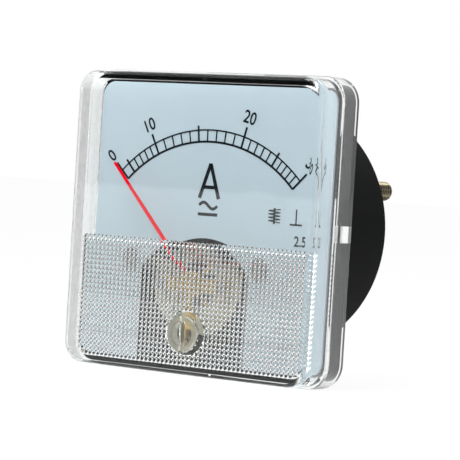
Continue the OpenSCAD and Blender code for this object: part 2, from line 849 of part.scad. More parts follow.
module pointer_hub() {
    notch_t = crank_t + 2 * thread_gap;
    color([0.78, 0.66, 0.38]) on_pivot(-rest_angle) difference() {
        union() {
            rod(hub_r, y_hub, y_hub + hub_t);
            for (turn = [90, 180, 270]) rotate([0, turn, 0])
                translate([0, y_hub + hub_t / 2, 0]) cylinder(h = tail_len, r = arm_w / 2);
        }
        rod(spindle_r + thread_gap, y_hub - cut, y_hub + hub_t + cut);
        translate([-pointer_w / 2 - thread_gap, y_hub + (hub_t - notch_t) / 2, hub_r - notch_sink])
            cube([pointer_w + 2 * thread_gap, notch_t, cut]);
    }
}

module balance_weights() {
    color([0.74, 0.62, 0.34]) on_pivot(-rest_angle) for (turn = [90, 180, 270]) rotate([0, turn, 0])
        translate([0, y_hub + hub_t / 2, tail_len - weight_from_end - weight_len]) difference() {
            cylinder(h = weight_len, r = weight_r);
            translate([0, 0, -cut]) cylinder(h = weight_len + 2 * cut, r = arm_w / 2 + thread_gap);
        }
}

module spring_collet() {
    color([0.80, 0.68, 0.36]) on_pivot() difference() {
        rod(collet_r, y_collet, y_collet + collet_t);
        rod(spindle_r + thread_gap, y_collet - cut, y_collet + collet_t + cut);
    }
}

// Flat spiral strip from the collet out to the pin of the zero lever
module hairspring() {
    steps = spring_steps * spring_turns;
    turn = 360 / spring_steps;
    grow = (spring_out_r - spring_in_r) / steps;
    inner = [for (i = [0:steps]) let (a = i * turn, r = spring_in_r + i * grow)
        [r * sin(a), -r * cos(a)]];
    outer = [for (i = [steps:-1:0]) let (a = i * turn, r = spring_in_r + i * grow + spring_strip)
        [r * sin(a), -r * cos(a)]];
    color([0.72, 0.60, 0.34]) on_pivot() slab(y_spring, y_spring + spring_h)
        polygon(concat(inner, outer));
}

module zero_lever() {
    reach = fork_pin_r + fork_reach;
    slot = pin_r + fork_gap;
    color([0.82, 0.68, 0.34]) on_pivot() {
        slab(y_lever, y_lever_back) difference() {
            union() {
                circle(lever_ring_r);
                translate([-lever_w / 2, -reach]) square([lever_w, reach]);
            }
            circle(jewel_screw_r + turn_gap);
            translate([-slot, -reach - cut]) square([2 * slot, fork_depth + cut]);
        }
        rod(lever_pin_dia / 2, y_lever_back - eps, y_spring + spring_h, 0, -lever_pin_r);
    }
}

module terminal_studs() {
    color([0.78, 0.72, 0.52]) for (side = [-1, 1]) {
        hex_rod(sqrt(3) * stud_head_r, y_lead - stud_head_t, y_lead, side * stud_x, stud_rise);
        turned(side * stud_x, stud_rise) polygon([
            [0, y_lead - eps], [stud_pitch_r, y_lead - eps], [stud_pitch_r, y_free_thread],
            [stud_r, y_free_thread], [stud_r, stud_end - stud_chamfer],
            [stud_r - stud_chamfer, stud_end], [0, stud_end]]);
    }
}

// Hexagon nut on each stud
module stud_hexagons(y0, y1) {
    for (side = [-1, 1]) difference() {
        hex_rod(nut_af, y0, y1, side * stud_x, stud_rise);
        rod(stud_pitch_r + thread_gap, y0 - cut, y1 + cut, side * stud_x, stud_rise);
    }
}

module stud_nuts() {
    color([0.76, 0.70, 0.50]) stud_hexagons(y_pad, y_washer);
}

module terminal_washers() {
    color([0.74, 0.74, 0.72]) for (side = [-1, 1]) difference() {
        rod(washer_r, y_washer, y_spring_washer, side * stud_x, stud_rise);
        rod(stud_r + washer_gap, y_washer - cut, y_spring_washer + cut, side * stud_x, stud_rise);
    }
}

module spring_washers() {
    color([0.60, 0.61, 0.62]) for (side = [-1, 1]) difference() {
        rod(spring_washer_r, y_spring_washer, y_terminal_nut, side * stud_x, stud_rise);
        rod(stud_r + washer_gap, y_spring_washer - cut, y_terminal_nut + cut, side * stud_x, stud_rise);
        translate([side * stud_x, y_spring_washer - cut, stud_rise])
            cube([washer_split, spring_washer_t + 2 * cut, 2 * spring_washer_r]);
    }
}

module terminal_nuts() {
    color([0.76, 0.70, 0.50]) stud_hexagons(y_terminal_nut, y_free_thread);
}

rear_case();
front_cover();
zero_adjuster();
dial_plate();
scale_print();
dial_screws();
dial_pillars();
movement_plate();
plate_screws();
coil_bobbin();
coil_winding();
coil_lead_left();
coil_lead_right();
fixed_iron();
front_bridge();
bridge_pillars();
bridge_screws();
front_jewel_screw();
front_jewel_nut();
rear_jewel_screw();
damping_chamber();
damping_lid();
damping_vane();
spindle();
moving_iron();
pointer();
pointer_hub();
balance_weights();
spring_collet();
hairspring();
zero_lever();
terminal_studs();
stud_nuts();
terminal_washers();
spring_washers();
terminal_nuts();
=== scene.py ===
"""Analog panel meter: finishes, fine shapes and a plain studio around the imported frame."""

from __future__ import annotations

import json
import logging
import math
from collections.abc import Iterable, Sequence
from dataclasses import dataclass
from enum import Enum, IntEnum
from itertools import pairwise
from typing import Any

import bmesh
import bpy
from mathutils import Matrix, Vector


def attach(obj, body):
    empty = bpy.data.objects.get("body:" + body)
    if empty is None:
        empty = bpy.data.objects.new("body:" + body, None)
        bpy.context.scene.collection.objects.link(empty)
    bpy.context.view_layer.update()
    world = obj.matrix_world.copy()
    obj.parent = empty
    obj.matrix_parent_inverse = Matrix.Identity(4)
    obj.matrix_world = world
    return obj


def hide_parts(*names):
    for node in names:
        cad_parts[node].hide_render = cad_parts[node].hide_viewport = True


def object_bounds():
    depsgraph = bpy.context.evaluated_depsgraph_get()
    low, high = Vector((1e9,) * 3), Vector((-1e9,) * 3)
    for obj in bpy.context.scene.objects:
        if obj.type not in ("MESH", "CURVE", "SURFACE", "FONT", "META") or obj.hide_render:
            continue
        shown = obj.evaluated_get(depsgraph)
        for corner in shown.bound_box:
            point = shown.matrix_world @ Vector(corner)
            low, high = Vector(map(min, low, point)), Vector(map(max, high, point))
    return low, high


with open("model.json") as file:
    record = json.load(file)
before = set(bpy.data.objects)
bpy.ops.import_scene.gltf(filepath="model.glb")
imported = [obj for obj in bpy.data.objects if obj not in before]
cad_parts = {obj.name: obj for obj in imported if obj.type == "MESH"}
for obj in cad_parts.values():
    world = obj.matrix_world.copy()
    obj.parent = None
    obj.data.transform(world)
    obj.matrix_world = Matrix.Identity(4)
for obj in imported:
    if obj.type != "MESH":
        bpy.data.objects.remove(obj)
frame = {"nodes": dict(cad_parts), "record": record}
cad_box = [list(corner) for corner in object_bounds()]

Colour = tuple[float, float, float]
Place = tuple[float, float, float]
Spot = tuple[float, float]

MM = 0.001
CASE = "case"
ADJUSTER_Z = -21.4
LOG = logging.getLogger("panel_meter")


class Grain(Enum):
    """How a metal surface was finished: the stretch of its marks along x, y and z."""

    TURNED = (0.4, 6.0, 0.4)
    BRUSHED = (1.0, 1.0, 8.0)
    PLATED = (1.0, 1.0, 1.0)


class Carving(Enum):
    """What a tool does to the piece that it meets."""

    JOIN = "UNION"
    CUT = "DIFFERENCE"


class CoverTone(IntEnum):
    """Materials of the clear cover, in their order."""

    CLEAR = 0
    WALLS = 1
    # Black seat faces: painted shade.
    SEAT_SHADE = 2


class Field:
    """A value that varies over a surface, held as a node socket."""

    def __init__(self, shader: Shader, socket: bpy.types.NodeSocket) -> None:
        """Keeps the socket and the shader it belongs to."""
        self.shader = shader
        self.socket = socket

    def _math(self, operation: str, first: Any, second: Any) -> Field:
        """Adds a Math node."""
        return self.shader.node("ShaderNodeMath", {"operation": operation}, {0: first, 1: second})

    def __add__(self, other: Field | float) -> Field:
        """Sum."""
        return self._math("ADD", self, other)

    def __radd__(self, other: float) -> Field:
        """Sum, from the right."""
        return self._math("ADD", other, self)

    def __sub__(self, other: Field | float) -> Field:
        """Difference."""
        return self._math("SUBTRACT", self, other)

    def __rsub__(self, other: float) -> Field:
        """Difference, from the right."""
        return self._math("SUBTRACT", other, self)

    def __mul__(self, other: Field | float) -> Field:
        """Product."""
        return self._math("MULTIPLY", self, other)

    def __rmul__(self, other: float) -> Field:
        """Product, from the right."""
        return self._math("MULTIPLY", other, self)

    def either(self, other: Field) -> Field:
        """The larger of two fields."""
        return self._math("MAXIMUM", self, other)

    def span(self, low: float, high: float, to_low: float = 0.0, to_high: float = 1.0) -> Field:
        """Maps a range to another, clamped.

        Args:
            low: Start of the range.
            high: End of the range.
            to_low: Result at the start.
            to_high: Result at the end.

        Returns:
            The mapped field.
        """
        inputs = {
            "Value": self, "From Min": low, "From Max": high, "To Min": to_low, "To Max": to_high,
        }
        return self.shader.node("ShaderNodeMapRange", {"clamp": True}, inputs)


class Shader:
    """One material, or the surroundings, and the nodes that make it."""

    def __init__(self, name: str, world: bool = False) -> None:
        """Starts empty.

        Args:
            name: Its name.
            world: Whether it is for the surroundings.
        """
        self.kind = "World" if world else "Material"
        self.owner = (bpy.data.worlds if world else bpy.data.materials).new(name)
        self.owner.use_nodes = True
        self.tree = self.owner.node_tree
        self.tree.nodes.clear()

    def _add(self, kind: str, settings: dict[str, Any], inputs: dict[Any, Any]) -> bpy.types.Node:
        """Adds a node and fills its sockets.

        Args:
            kind: Node type.
            settings: Attributes, set first.
            inputs: Values or fields by socket name or number.

        Returns:
            The node.
        """
        made = self.tree.nodes.new(kind)
        for key, value in settings.items():
            setattr(made, key, value)
        for key, value in inputs.items():
            if isinstance(value, Field):
                self.tree.links.new(value.socket, made.inputs[key])
            else:
                made.inputs[key].default_value = value
        return made

    def node(
        self,
        kind: str,
        settings: dict[str, Any] | None = None,
        inputs: dict[Any, Any] | None = None,
        output: str | int = 0,
    ) -> Field:
        """Adds a node and gives one of its outputs.

        Args:
            kind: Node type.
            settings: Attributes, set first.
            inputs: Values or fields by socket name or number.
            output: The output wanted.

        Returns:
            The output as a field.
        """
        return Field(self, self._add(kind, settings or {}, inputs or {}).outputs[output])

    def place(self, stretch: Sequence[float] = (1.0, 1.0, 1.0)) -> Field:
        """Position on the piece in millimetres.

        Args:
            stretch: Factor along x, y and z.

        Returns:
            The stretched position.
        """
        spot = self.node("ShaderNodeTexCoord", output="Object")
        scale = tuple(s / MM for s in stretch)
        return self.node("ShaderNodeVectorMath", {"operation": "MULTIPLY"}, {0: spot, 1: scale})

    def along(self, axis: str) -> Field:
        """Position on the piece along one axis, in millimetres."""
        return self.node("ShaderNodeSeparateXYZ", inputs={0: self.place()}, output=axis)

    def noise(
        self, size: float, detail: float = 2.0, stretch: Sequence[float] = (1.0, 1.0, 1.0)
    ) -> Field:
        """Cloudy pattern whose features are about size millimetres across."""
        inputs = {"Vector": self.place(stretch), "Scale": 1 / size, "Detail": detail}
        return self.node("ShaderNodeTexNoise", inputs=inputs)

    def blend(self, share: Field | float, first: Any, second: Any) -> Field:
        """Colour between two colours, by a share from 0 to 1."""
        inputs = {0: share, 6: first, 7: second}
        return self.node("ShaderNodeMix", {"data_type": "RGBA"}, inputs, 2)

    def mix(self, share: Field | float, first: Field, second: Field) -> Field:
        """Surface between two surfaces, by a share from 0 to 1."""
        return self.node("ShaderNodeMixShader", inputs={0: share, 1: first, 2: second})

    def ray(self, kind: str) -> Field:
        """1 for the rays of one kind and 0 for the others."""
        return self.node("ShaderNodeLightPath", output=kind)

    def bump(self, height: Field, depth: float) -> Field:
        """Surface direction from a height field, with its depth in millimetres."""
        inputs = {"Height": height, "Distance": depth * MM, "Strength": 1.0}
        return self.node("ShaderNodeBump", inputs=inputs, output="Normal")

    def solid(self, **inputs: Any) -> Field:
        """Principled shader; underscores stand for spaces in socket names."""
        named = {key.replace("_", " "): value for key, value in inputs.items()}
        return self.node("ShaderNodeBsdfPrincipled", inputs=named)

    def done(self, surface: Field) -> Any:
        """Links the surface and returns the material or the world."""
        self._add(f"ShaderNodeOutput{self.kind}", {}, {"Surface": surface})
        return self.owner


def rgba(colour: Sequence[float]) -> tuple[float, float, float, float]:
    """Colour with full cover."""
    return (colour[0], colour[1], colour[2], 1.0)


def grey(level: float) -> tuple[float, float, float, float]:
    """Even grey with full cover."""
    return (level, level, level, 1.0)


def shade(colour: Sequence[float], share: float) -> tuple[float, float, float, float]:
    """Colour made lighter or darker by a share."""
    return rgba([min(c * share, 1.0) for c in colour])


@dataclass(frozen=True)
class Moulding:
    """Opaque moulded plastic with a faint grain and flow marks; sizes in millimetres."""

    name: str
    colour: Colour
    roughness: float
    shine: float = 0.5
    cloud: float = 9.0
    cloud_shades: Spot = (0.8, 1.25)
    flow: float = 2.5
    flow_stretch: Place = (1.0, 0.15, 1.0)
    flow_roughness: float = 0.12
    flow_depth: float = 0.6
    grain: float = 0.25
    grain_roughness: float = 0.10
    depth: float = 0.004

    def build(self) -> bpy.types.Material:
        """Makes the material.

        Returns:
            The material.
        """
        s = Shader(self.name)
        clouds, grain = s.noise(self.cloud), s.noise(self.grain, 3.0)
        flow = s.noise(self.flow, 2.0, self.flow_stretch)
        dark, light = (shade(self.colour, share) for share in self.cloud_shades)
        unevenness = self.flow_roughness * (flow - 0.5) + self.grain_roughness * (grain - 0.5)
        return s.done(
            s.solid(
                Base_Color=s.blend(clouds, dark, light),
                Roughness=self.roughness + unevenness,
                Specular_IOR_Level=self.shine,
                Normal=s.bump(grain + self.flow_depth * flow, self.depth),
            )
        )


@dataclass(frozen=True)
class Paint:
    """Satin paint on sheet metal; sizes in millimetres."""

    name: str
    colour: Colour
    roughness: float
    shine: float = 0.5
    cloud: float = 14.0
    cloud_shades: Spot = (0.985, 1.015)
    peel: float = 0.5
    peel_roughness: float = 0.08
    depth: float = 0.002

    def build(self) -> bpy.types.Material:
        """Makes the material.

        Returns:
            The material.
        """
        s = Shader(self.name)
        clouds, peel = s.noise(self.cloud, 3.0), s.noise(self.peel)
        dark, light = (shade(self.colour, share) for share in self.cloud_shades)
        return s.done(
            s.solid(
                Base_Color=s.blend(clouds, dark, light),
                Roughness=self.roughness + self.peel_roughness * (peel - 0.5),
                Specular_IOR_Level=self.shine,
                Normal=s.bump(peel, self.depth),
            )
        )


@dataclass(frozen=True)
class Metal:
    """Bare or plated metal with the marks of how it was made; sizes in millimetres."""

    name: str
    colour: Colour
    roughness: float
    grain: Grain = Grain.BRUSHED
    stain: float = 0.75
    fresh: float = 1.05
    mark: float = 0.6
    mark_roughness: float = 0.18
    tarnish: float = 2.2
    tarnish_range: Spot = (0.50, 0.72)
    tarnish_roughness: float = 0.15
    depth: float = 0.006

    def build(self) -> bpy.types.Material:
        """Makes the material.

        Returns:
            The material.
        """
        s = Shader(self.name)
        marks = s.noise(self.mark, 3.0, self.grain.value)
        spots = s.noise(self.tarnish, 4.0).span(*self.tarnish_range)
        fresh, stained = (shade(self.colour, share) for share in (self.fresh, self.stain))
        unevenness = self.mark_roughness * (marks - 0.5) + self.tarnish_roughness * spots
        return s.done(
            s.solid(
                Base_Color=s.blend(spots, fresh, stained),
                Metallic=1.0,
                Roughness=self.roughness + unevenness,
                Normal=s.bump(marks, self.depth),
            )
        )


@dataclass(frozen=True)
class ClearPlastic:
    """Polished clear plastic that lets the lamps through; sizes in millimetres."""

    name: str
    tint: Colour
    roughness: float = 0.015
    ior: float = 1.49
    haze: float = 0.0
    # The most milk, laid on as painted light.
    painted_light_haze: float = 0.0
    milk: Colour = (0.94, 0.94, 0.94)
    haze_from: float = -27.0
    haze_to: float = -20.0
    cloud: float = 1.2
    scuff: float = 3.0
    scuff_range: Spot = (0.55, 0.80)
    scuff_roughness: float = 0.02
    scuff_shade: float = 0.99
    ripple: float = 7.0
    depth: float = 0.01

    def build(self) -> bpy.types.Material:
        """Makes the material.

        Returns:
            The material.
        """
        s = Shader(self.name)
        scuffs = s.noise(self.scuff, 4.0).span(*self.scuff_range)
        body = s.solid(
            Base_Color=s.blend(scuffs, rgba(self.tint), shade(self.tint, self.scuff_shade)),
            Roughness=self.roughness + self.scuff_roughness * scuffs,
            IOR=self.ior,
            Transmission_Weight=1.0,
            Normal=s.bump(s.noise(self.ripple, 1.0), self.depth),
        )
        if self.haze:
            milk = s.node("ShaderNodeBsdfTranslucent", inputs={"Color": rgba(self.milk)})
            clouds = s.noise(self.cloud, 3.0).span(0.2, 0.7, 0.8, 1.0)
            body = s.mix(self._share(s) * clouds, body, milk)
        clear = s.node("ShaderNodeBsdfTransparent", inputs={"Color": rgba(self.tint)})
        return s.done(s.mix(s.ray("Is Shadow Ray"), body, clear))

    def _share(self, s: Shader) -> Field:
        """How milky it is from place to place: most at the far left, painted light that whitens
        the walls where the light from the left shows through them.
        """
        return s.along("X").span(self.haze_from, self.haze_to, self.painted_light_haze, self.haze)


@dataclass(frozen=True)
class HeadPlastic(ClearPlastic):
    """Clear plastic of the adjuster, milkier round its rim and in its slot: painted light for the
    brightness of its raised rim and its slot.
    """

    rim_inner: float = 2.55
    rim_outer: float = 3.35
    slot_half: float = 0.42
    slot_share: float = 0.6
    edge: float = 0.15

    def _share(self, s: Shader) -> Field:
        """How milky it is from place to place: most round the rim and in the slot, as painted
        light.

        Args:
            s: The shader.

        Returns:
            Its share of milk.
        """
        across, up = s.along("X"), s.along("Z") - ADJUSTER_Z
        out = across * across + up * up
        inner = out.span((self.rim_inner - self.edge) ** 2, self.rim_inner**2)
        outer = out.span(self.rim_outer**2, (self.rim_outer + self.edge) ** 2, 1.0, 0.0)
        slot_edge = (self.slot_half - self.edge) ** 2
        slot = (across * across).span(slot_edge, self.slot_half**2, self.slot_share, 0.0)
        return (inner * outer).either(slot).span(0.0, 1.0, self.haze, self.painted_light_haze)


class Finishes:
    """All the finishes of the meter, by the name of the record's slot."""

    def __init__(self) -> None:
        """Makes every material once."""
        made = (
            Moulding("case_black", (0.003, 0.0036, 0.0034), 0.5, 0.03),
            ClearPlastic("cover_clear", (0.965, 0.985, 0.985)),
            # Walls milkier towards the far left: painted light for the whitening that the light
            # from the left gives there.
            ClearPlastic("cover_walls", (0.965, 0.985, 0.985), haze=0.07, painted_light_haze=0.75),
            # Black for the seat of the clear cover above and below: painted shade.
            Moulding("seat_painted_shade", (0.004, 0.0045, 0.0045), 0.6, 0.03),
            # Milk round the rim and in the slot of the adjuster: painted light.
            HeadPlastic(
                "adjuster_clear", (0.97, 0.955, 0.89), 0.02, 1.5, 0.08, 0.75, (0.95, 0.94, 0.88)
            ),
            Moulding("latch_white", (0.86, 0.88, 0.88), 0.35),
            # Grey copy of the latch white: painted shade on the tongue's rear third.
            Moulding("latch_painted_shade", (0.20, 0.21, 0.21), 0.35),
            Paint("dial_paint", (0.51, 0.60, 0.66), 0.55, 0.15),
            Paint("print_black", (0.010, 0.013, 0.017), 0.6, 0.1),
            Paint("pointer_red", (0.98, 0.001, 0.012), 0.6, 0.03),
            # Black on the damping parts behind the opening: painted shade for the dark inside the
            # case there.
            Paint("black_aluminium", (0.003, 0.003, 0.004), 0.7, 0.0),
            Metal("dark_steel", (0.36, 0.36, 0.37), 0.42, Grain.TURNED),
            Metal("brass", (0.78, 0.56, 0.24), 0.30, Grain.TURNED),
            Metal("zinc_steel", (0.62, 0.62, 0.61), 0.36),
            Moulding("natural_nylon", (0.70, 0.66, 0.52), 0.5),
            Metal("copper_wire", (0.62, 0.24, 0.09), 0.34, Grain.TURNED, 0.6),
            Metal("copper_strip", (0.80, 0.42, 0.24), 0.38),
            Metal("soft_iron", (0.40, 0.41, 0.43), 0.45),
            Metal("aluminium", (0.74, 0.75, 0.76), 0.40),
            Metal("polished_steel", (0.66, 0.67, 0.69), 0.18, Grain.TURNED),
            Metal("spring_bronze", (0.66, 0.48, 0.24), 0.32),
            Metal("stud_brass", (0.21, 0.185, 0.125), 0.30, Grain.PLATED, 0.45),
            Metal("spring_steel", (0.34, 0.34, 0.35), 0.40),
            # Dark for the thread's grooves: painted shade.
            Metal("thread_painted_shade", (0.03, 0.022, 0.013), 0.55, Grain.PLATED),
        )
        self.materials = {finish.name: finish.build() for finish in made}

    def __getitem__(self, name: str) -> bpy.types.Material:
        """The material of that name."""
        return self.materials[name]

    def dress_frame(self) -> None:
        """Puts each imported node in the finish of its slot."""
        for part in frame["record"]["subparts"]:
            piece = frame["nodes"][part["node"]]
            piece.data.materials.clear()
            piece.data.materials.append(self[part["material_slot"]])
            LOG.info("%s: %s", part["node"], part["material_slot"])


def placed(name: str, data: bpy.types.ID) -> bpy.types.Object:
    """Puts a new object in the scene.

    Args:
        name: Its name.
        data: Its mesh, text, lamp or camera.

    Returns:
        The object.
    """
    made = bpy.data.objects.new(name, data)
    bpy.context.scene.collection.objects.link(made)
    return made


class Shape:
    """A mesh put together from loops of points, in millimetres."""

    WELD = 0.002

    def __init__(self, name: str) -> None:
        """Starts an empty shape.

        Args:
            name: Name of the object that it becomes.
        """
        self.name = name
        self.points: list[Vector] = []
        self.faces: list[tuple[int, ...]] = []
        self.tones: list[int] = []

    def loop(self, points: Iterable[Sequence[float]]) -> list[int]:
        """Adds points.

        Args:
            points: The points.

        Returns:
            Their numbers.
        """
        start = len(self.points)
        self.points.extend(Vector(p) for p in points)
        return list(range(start, len(self.points)))

    def face(self, corners: Iterable[int], tone: int = 0) -> None:
        """Adds a face in one of the piece's materials."""
        self.faces.append(tuple(corners))
        self.tones.append(tone)

    def bridge(self, first: list[int], second: list[int], tone: int = 0) -> list[int]:
        """Joins two closed loops of equal count.

        Args:
            first: One loop.
            second: The other.
            tone: Number of the material.

        Returns:
            The second loop.
        """
        for i in range(len(first)):
            j = (i + 1) % len(first)
            self.face((first[i], first[j], second[j], second[i]), tone)
        return second

    def tube(self, loops: Sequence[list[int]], tone: int = 0) -> None:
        """Joins loops in their order and closes both ends.

        Args:
            loops: The loops.
            tone: Number of the material.
        """
        for first, second in pairwise(loops):
            self.bridge(first, second, tone)
        self.face(loops[0], tone)
        self.face(loops[-1], tone)

    def plain(self) -> bpy.types.Object:
        """Makes a bare object, with its doubled points joined.

        Returns:
            The object, with an empty place for each material.
        """
        mesh = bpy.data.meshes.new(self.name)
        mesh.from_pydata([p * MM for p in self.points], [], self.faces)
        for _ in range(max(self.tones) + 1):
            mesh.materials.append(None)
        mesh.polygons.foreach_set("material_index", self.tones)
        work = bmesh.new()
        work.from_mesh(mesh)
        bmesh.ops.remove_doubles(work, verts=work.verts, dist=self.WELD * MM)
        bmesh.ops.recalc_face_normals(work, faces=work.faces)
        work.to_mesh(mesh)
        work.free()
        return placed(self.name, mesh)


def settle(
    piece: bpy.types.Object,
    materials: Sequence[bpy.types.Material],
    replaces: str = "",
    sharp: float = 30.0,
) -> None:
    """Gives a finished shape its materials and edges, and fixes it to the case.

    Args:
        piece: The object.
        materials: One material for each tone.
        replaces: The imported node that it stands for, if any.
        sharp: Smallest angle of an edge that stays crisp, in degrees.
    """
    mesh = piece.data
    mesh.shade_smooth()
    mesh.set_sharp_from_angle(angle=math.radians(sharp))
    for i, material in enumerate(materials):
        if i < len(mesh.materials):
            mesh.materials[i] = material
        else:
            mesh.materials.append(material)
    even = piece.modifiers.new("even_normals", "WEIGHTED_NORMAL")
    even.keep_sharp = True
    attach(piece, CASE)
    if replaces:
        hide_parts(replaces)
    LOG.info("%s: %d faces", piece.name, len(mesh.polygons))


def baked(piece: bpy.types.Object) -> bpy.types.Mesh:
    """Applies the modifiers of an object, or turns its text to a mesh.

    Args:
        piece: The object.

    Returns:
        A new mesh.
    """
    bpy.context.view_layer.update()
    graph = bpy.context.evaluated_depsgraph_get()
    return bpy.data.meshes.new_from_object(piece.evaluated_get(graph))


def carve(piece: bpy.types.Object, tool: bpy.types.Object, carving: Carving) -> None:
    """Joins or cuts one solid with another, which is used up.

    Args:
        piece: The solid that stays.
        tool: The solid that is used up.
        carving: Whether it is joined or cut away.
    """
    cut = piece.modifiers.new("carve", "BOOLEAN")
    cut.operation, cut.solver, cut.object = carving.value, "EXACT", tool
    made = baked(piece)
    piece.modifiers.clear()
    piece.data = made
    bpy.data.objects.remove(tool)


def tile(
    half: float, corner: float, y: float, squeeze: float = 0.0, steps: int = 10
) -> list[Place]:
    """Square outline with round corners, across y.

    Args:
        half: Half its width.
        corner: Radius of its corners.
        y: Its place along y.
        squeeze: How far its left and right sides are moved in.
        steps: Faces round each corner.

    Returns:
        The points in order.
    """
    points = []
    for quarter, (sx, sz) in enumerate(((1, 1), (-1, 1), (-1, -1), (1, -1))):
        for step in range(steps + 1):
            angle = math.radians(90 * quarter + 90 * step / steps)
            points.append((
                sx * (half - squeeze - corner) + corner * math.cos(angle),
                y,
                sz * (half - corner) + corner * math.sin(angle),
            ))
    return points


def ring(radius: float, y: float, x: float = 0.0, z: float = 0.0, count: int = 64) -> list[Place]:
    """Circle across y."""
    turns = [2 * math.pi * i / count for i in range(count)]
    return [(x + radius * math.cos(t), y, z + radius * math.sin(t)) for t in turns]


def lathe(name: str, outline: Iterable[Spot], x: float, z: float) -> bpy.types.Object:
    """Closed solid turned about an axis along y.

    Args:
        name: Its name.
        outline: Radius and y of each ring, from one end face to the other.
        x: Where the axis lies.
        z: Where the axis lies.

    Returns:
        The bare object.
    """
    shape = Shape(name)
    shape.tube([shape.loop(ring(r, y, x, z)) for r, y in outline])
    return shape.plain()


@dataclass(frozen=True)
class Cover:
    """Clear two-step cover with its field of prisms; sizes in millimetres."""

    half: float = 30.0
    corner: float = 5.0
    step: float = 0.6
    y_front: float = -12.0
    y_step: float = -5.0
    y_ledge: float = -4.5
    edge: float = 0.8
    edge_steps: int = 6
    inner_edge: float = 0.2
    inner_side_edge: float = 1.4
    inner_steps: int = 8
    front_wall: float = 2.5
    side_wall: float = 1.5
    rim_wall: float = 1.0
    columns: int = 55
    rows: int = 25
    row_pitch: float = 0.965
    prism: float = 0.5
    prism_base: float = 0.05
    field_top: float = -3.5
    hole: float = 2.58
    head_hole: float = 3.73
    head_depth: float = 1.3
    head_chamfer: float = 0.1
    boss: float = 4.2
    boss_height: float = 0.6
    gates: tuple[Spot, ...] = ((1.9, 28.1), (7.3, -28.6))
    gate_r: float = 0.35
    gate_depth: float = 0.12
    over: float = 0.5
    sharp: float = 12.0

    def build(self, finishes: Finishes) -> None:
        """Makes the shell, joins the prisms and the boss to it and bores it.

        Args:
            finishes: The finishes.
        """
        shell = self._shell()
        before, y_boss = self.y_front - self.over, self.y_bay + self.boss_height
        y_seat = self.y_front + self.head_depth
        boss = ((self.boss, self.y_bay - self.over), (self.boss, y_boss))
        bore = (
            (self.head_hole + self.head_chamfer + self.over, before),
            (self.head_hole, self.y_front + self.head_chamfer),
            (self.head_hole, y_seat),
            (self.hole, y_seat),
            (self.hole, y_boss + self.over),
        )
        carve(shell, self._prisms(), Carving.JOIN)
        carve(shell, lathe("boss", boss, 0.0, ADJUSTER_Z), Carving.JOIN)
        carve(shell, lathe("bore", bore, 0.0, ADJUSTER_Z), Carving.CUT)
        gate = ((self.gate_r, before), (self.gate_r, self.y_front + self.gate_depth))
        for x, z in self.gates:
            carve(shell, lathe("gate", gate, x, z), Carving.CUT)
        tones = [finishes[name] for name in ("cover_clear", "cover_walls", "seat_painted_shade")]
        settle(shell, tones, "front_cover", self.sharp)

    @property
    def y_bay(self) -> float:
        """Inner plane of the front wall."""
        return self.y_front + self.front_wall

    @property
    def bay(self) -> float:
        """Half width of the space inside."""
        return self.half - self.step - self.side_wall

    def _shell(self) -> bpy.types.Object:
        """Walls, rim and ledge, closed at the front.

        Returns:
            The bare object.
        """
        shape = Shape("cover_shell")
        box, box_corner = self.half - self.step, self.corner - self.step
        bay_corner = box_corner - self.side_wall
        rim_in, rim_corner = self.half - self.rim_wall, self.corner - self.rim_wall
        outside = self._rounded(box, box_corner, self.y_front, self.edge)
        rim = self._rounded(self.half, self.corner, self.y_step, self.edge / 2)
        outlines = [
            *outside,
            (box, box_corner, self.y_step),
            *rim,
            (self.half, self.corner, 0.0),
            (rim_in, rim_corner, 0.0),
            (rim_in, rim_corner, self.y_ledge),
            (self.bay, bay_corner, self.y_ledge),
            *self._inner_rounding(bay_corner),
        ]
        loops = [shape.loop(tile(*outline)) for outline in outlines]
        walls = len(outside) + len(rim)
        for k, (first, second) in enumerate(pairwise(loops)):
            start = len(shape.faces)
            shape.bridge(first, second, CoverTone.WALLS if k <= walls else CoverTone.CLEAR)
            # The seat's faces above and below take painted shade.
            if outlines[k][2] == outlines[k + 1][2] == self.y_ledge:
                self._paint_seat_shade(shape, start)
        shape.face(loops[0])
        shape.face(loops[-1])
        return shape.plain()

    def _inner_rounding(self, corner: float) -> list[tuple[float, ...]]:
        """Outlines that round the inside of the front, more at the left and right than above.

        Args:
            corner: Radius of the corners of the space inside.

        Returns:
            Half width, corner, y and squeeze of each outline, towards the front.
        """
        outlines = []
        for i in range(self.inner_steps + 1):
            t = math.pi / 2 * i / self.inner_steps
            inset, rise = 1 - math.cos(t), 1 - math.sin(t)
            dz, dx = self.inner_edge * inset, self.inner_side_edge * inset
            y = self.y_bay + self.inner_side_edge * rise
            outlines.append((self.bay - dz, corner - dz, y, dx - dz))
        return outlines

    @staticmethod
    def _paint_seat_shade(shape: Shape, start: int) -> None:
        """Paints the seat black above and below as painted shade, where the black flange lies
        right behind it.

        Args:
            shape: The shell.
            start: Number of the seat's first face, the last one so far being its last.
        """
        for number in range(start, len(shape.faces)):
            corners = [shape.points[n] for n in shape.faces[number]]
            middle = sum(corners, Vector()) / len(corners)
            if abs(middle.z) > abs(middle.x):
                shape.tones[number] = CoverTone.SEAT_SHADE

    def _rounded(self, half: float, corner: float, y: float, radius: float) -> list[Place]:
        """Outlines that round a front edge, from the face outwards.

        Args:
            half: Half width behind the edge.
            corner: Radius of the corners behind the edge.
            y: Plane of the face.
            radius: Radius of the edge.

        Returns:
            Half width, corner and y of each outline.
        """
        turns = [math.pi / 2 * i / self.edge_steps for i in range(self.edge_steps + 1)]
        insets = [(radius * (1 - math.sin(t)), radius * (1 - math.cos(t))) for t in turns]
        return [(half - d, corner - d, y + rise) for d, rise in insets]

